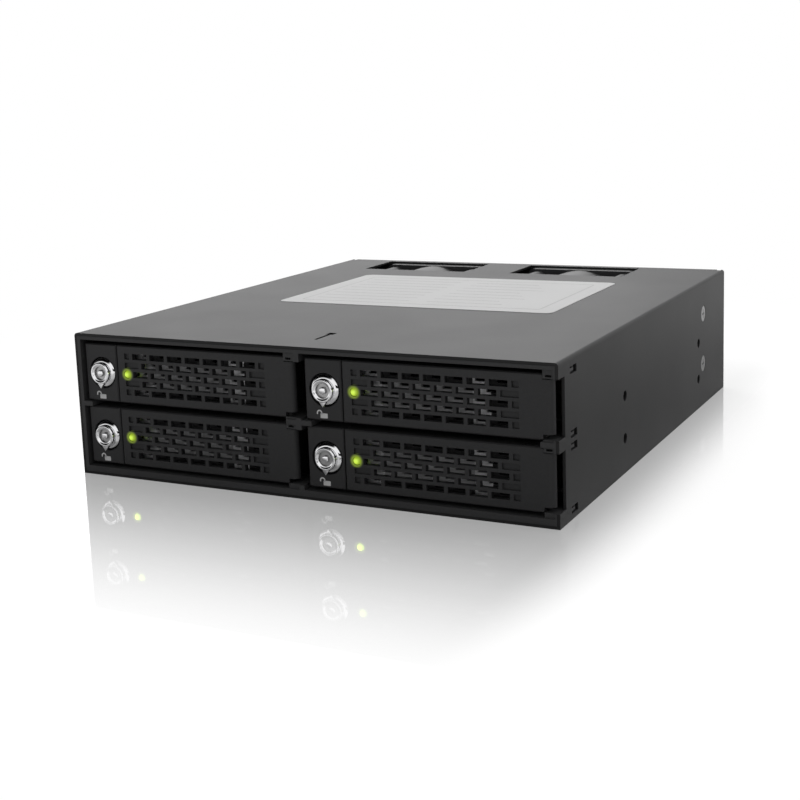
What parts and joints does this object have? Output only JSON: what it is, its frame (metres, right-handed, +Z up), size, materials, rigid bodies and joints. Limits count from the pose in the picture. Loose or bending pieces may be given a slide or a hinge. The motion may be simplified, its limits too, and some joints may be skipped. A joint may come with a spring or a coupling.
{
  "type": "hot swap drive cage",
  "caption": "Flat black drive cage for a 5.25 inch bay: sliding 2.5 inch trays with pierced doors and key locks, a backplane and rear fans in a folded housing.",
  "frame": {"origin": "centre of the underside, on the outer face of the floor sheet", "axes": "+Z up, -Y towards the front with the tray doors, +X to the right as seen from the front"},
  "size_m": [0.146, 0.1666, 0.0413],
  "materials": {
    "housing_paint": "satin black powder coat on folded sheet",
    "frame_moulding": "fine matt black moulding",
    "guide_moulding": "plain black moulding",
    "board_laminate": "green solder mask over laminate",
    "connector_moulding": "black connector moulding with gilt contacts",
    "bright_steel": "bright zinc plated steel",
    "fan_moulding": "black glass filled moulding",
    "tray_metal": "black coated sheet",
    "tray_moulding": "matt black moulding, lightly grained",
    "lock_chrome": "bright chrome plate",
    "latch_moulding": "plain black moulding",
    "clear_moulding": "clear light pipe, lit yellow green at its lens",
    "label_film": "silver grey satin film, bare",
    "print_grey": "light grey printed mark"
  },
  "bodies": {
    "housing": {"top_cover": "housing_paint", "bottom_pan": "housing_paint", "front_frame": "frame_moulding", "centre_divider": "housing_paint", "shelf_left": "housing_paint", "shelf_right": "housing_paint", "tray_guides": "guide_moulding", "backplane_board": "board_laminate", "drive_sockets": "connector_moulding", "sata_ports": "connector_moulding", "power_ports": "connector_moulding", "fan_headers": "connector_moulding", "board_screws": "bright_steel", "rear_panel": "housing_paint", "fan_frame_left": "fan_moulding", "fan_frame_right": "fan_moulding", "fan_screws": "bright_steel", "side_screws": "bright_steel"},
    "rotor_left": {"fan_rotor_left": "fan_moulding"},
    "rotor_right": {"fan_rotor_right": "fan_moulding"},
    "drawer_upper_left": {"tray_upper_left": "tray_metal", "bezel_upper_left": "tray_moulding", "hinge_pin_upper_left": "bright_steel", "light_pipe_upper_left": "clear_moulding", "bezel_screws_upper_left": "bright_steel"},
    "flap_upper_left": {"door_upper_left": "tray_moulding"},
    "lock_upper_left": {"lock_barrel_upper_left": "lock_chrome"},
    "plug_upper_left": {"lock_plug_upper_left": "lock_chrome"},
    "bolt_upper_left": {"latch_upper_left": "latch_moulding"},
    "drawer_upper_right": {"tray_upper_right": "tray_metal", "bezel_upper_right": "tray_moulding", "hinge_pin_upper_right": "bright_steel", "light_pipe_upper_right": "clear_moulding", "bezel_screws_upper_right": "bright_steel"},
    "flap_upper_right": {"door_upper_right": "tray_moulding"},
    "lock_upper_right": {"lock_barrel_upper_right": "lock_chrome"},
    "plug_upper_right": {"lock_plug_upper_right": "lock_chrome"},
    "bolt_upper_right": {"latch_upper_right": "latch_moulding"},
    "drawer_lower_left": {"tray_lower_left": "tray_metal", "bezel_lower_left": "tray_moulding", "hinge_pin_lower_left": "bright_steel", "light_pipe_lower_left": "clear_moulding", "bezel_screws_lower_left": "bright_steel"},
    "flap_lower_left": {"door_lower_left": "tray_moulding"},
    "lock_lower_left": {"lock_barrel_lower_left": "lock_chrome"},
    "plug_lower_left": {"lock_plug_lower_left": "lock_chrome"},
    "bolt_lower_left": {"latch_lower_left": "latch_moulding"},
    "drawer_lower_right": {"tray_lower_right": "tray_metal", "bezel_lower_right": "tray_moulding", "hinge_pin_lower_right": "bright_steel", "light_pipe_lower_right": "clear_moulding", "bezel_screws_lower_right": "bright_steel"},
    "flap_lower_right": {"door_lower_right": "tray_moulding"},
    "lock_lower_right": {"lock_barrel_lower_right": "lock_chrome"},
    "plug_lower_right": {"lock_plug_lower_right": "lock_chrome"},
    "bolt_lower_right": {"latch_lower_right": "latch_moulding"}
  },
  "joints": [
    {"name": "drawer_slide_upper_left", "type": "slide", "parent": "housing", "child": "drawer_upper_left", "axis": [0, -1, 0], "range_m": [0, 0.15]},
    {"name": "door_swing_upper_left", "type": "hinge", "parent": "drawer_upper_left", "child": "flap_upper_left", "pos_m": [-0.006, -0.0804, 0.03005], "axis": [0, 0, 1], "range_deg": [0, 85]},
    {"name": "lock_push_upper_left", "type": "slide", "parent": "drawer_upper_left", "child": "lock_upper_left", "axis": [0, 1, 0], "range_m": [0, 0.002], "stiffness_N_per_m": 300, "springref_m": -0.001},
    {"name": "lock_turn_upper_left", "type": "hinge", "parent": "lock_upper_left", "child": "plug_upper_left", "pos_m": [-0.0645, -0.082, 0.03005], "axis": [0, 1, 0], "range_deg": [0, 90]},
    {"name": "bolt_slide_upper_left", "type": "slide", "parent": "drawer_upper_left", "child": "bolt_upper_left", "axis": [-1, 0, 0], "range_m": [0, 0.0012]},
    {"name": "drawer_slide_upper_right", "type": "slide", "parent": "housing", "child": "drawer_upper_right", "axis": [0, -1, 0], "range_m": [0, 0.15]},
    {"name": "door_swing_upper_right", "type": "hinge", "parent": "drawer_upper_right", "child": "flap_upper_right", "pos_m": [0.0666, -0.0804, 0.03005], "axis": [0, 0, 1], "range_deg": [0, 85]},
    {"name": "lock_push_upper_right", "type": "slide", "parent": "drawer_upper_right", "child": "lock_upper_right", "axis": [0, 1, 0], "range_m": [0, 0.002], "stiffness_N_per_m": 300, "springref_m": -0.001},
    {"name": "lock_turn_upper_right", "type": "hinge", "parent": "lock_upper_right", "child": "plug_upper_right", "pos_m": [0.0081, -0.082, 0.03005], "axis": [0, 1, 0], "range_deg": [0, 90]},
    {"name": "bolt_slide_upper_right", "type": "slide", "parent": "drawer_upper_right", "child": "bolt_upper_right", "axis": [-1, 0, 0], "range_m": [0, 0.0012]},
    {"name": "drawer_slide_lower_left", "type": "slide", "parent": "housing", "child": "drawer_lower_left", "axis": [0, -1, 0], "range_m": [0, 0.15]},
    {"name": "door_swing_lower_left", "type": "hinge", "parent": "drawer_lower_left", "child": "flap_lower_left", "pos_m": [-0.006, -0.0804, 0.01175], "axis": [0, 0, 1], "range_deg": [0, 85]},
    {"name": "lock_push_lower_left", "type": "slide", "parent": "drawer_lower_left", "child": "lock_lower_left", "axis": [0, 1, 0], "range_m": [0, 0.002], "stiffness_N_per_m": 300, "springref_m": -0.001},
    {"name": "lock_turn_lower_left", "type": "hinge", "parent": "lock_lower_left", "child": "plug_lower_left", "pos_m": [-0.0645, -0.082, 0.01175], "axis": [0, 1, 0], "range_deg": [0, 90]},
    {"name": "bolt_slide_lower_left", "type": "slide", "parent": "drawer_lower_left", "child": "bolt_lower_left", "axis": [-1, 0, 0], "range_m": [0, 0.0012]},
    {"name": "drawer_slide_lower_right", "type": "slide", "parent": "housing", "child": "drawer_lower_right", "axis": [0, -1, 0], "range_m": [0, 0.15]},
    {"name": "door_swing_lower_right", "type": "hinge", "parent": "drawer_lower_right", "child": "flap_lower_right", "pos_m": [0.0666, -0.0804, 0.01175], "axis": [0, 0, 1], "range_deg": [0, 85]},
    {"name": "lock_push_lower_right", "type": "slide", "parent": "drawer_lower_right", "child": "lock_lower_right", "axis": [0, 1, 0], "range_m": [0, 0.002], "stiffness_N_per_m": 300, "springref_m": -0.001},
    {"name": "lock_turn_lower_right", "type": "hinge", "parent": "lock_lower_right", "child": "plug_lower_right", "pos_m": [0.0081, -0.082, 0.01175], "axis": [0, 1, 0], "range_deg": [0, 90]},
    {"name": "bolt_slide_lower_right", "type": "slide", "parent": "drawer_lower_right", "child": "bolt_lower_right", "axis": [-1, 0, 0], "range_m": [0, 0.0012]},
    {"name": "fan_spin_left", "type": "hinge", "parent": "housing", "child": "rotor_left", "pos_m": [-0.034, 0.0693, 0.02065], "axis": [0, 1, 0], "continuous": true},
    {"name": "fan_spin_right", "type": "hinge", "parent": "housing", "child": "rotor_right", "pos_m": [0.0235, 0.0693, 0.02065], "axis": [0, 1, 0], "continuous": true}
  ],
  "couplings": [
    {"joint": "bolt_slide_upper_left", "follows": "lock_push_upper_left", "ratio": 0.6},
    {"joint": "bolt_slide_upper_right", "follows": "lock_push_upper_right", "ratio": 0.6},
    {"joint": "bolt_slide_lower_left", "follows": "lock_push_lower_left", "ratio": 0.6},
    {"joint": "bolt_slide_lower_right", "follows": "lock_push_lower_right", "ratio": 0.6}
  ]
}
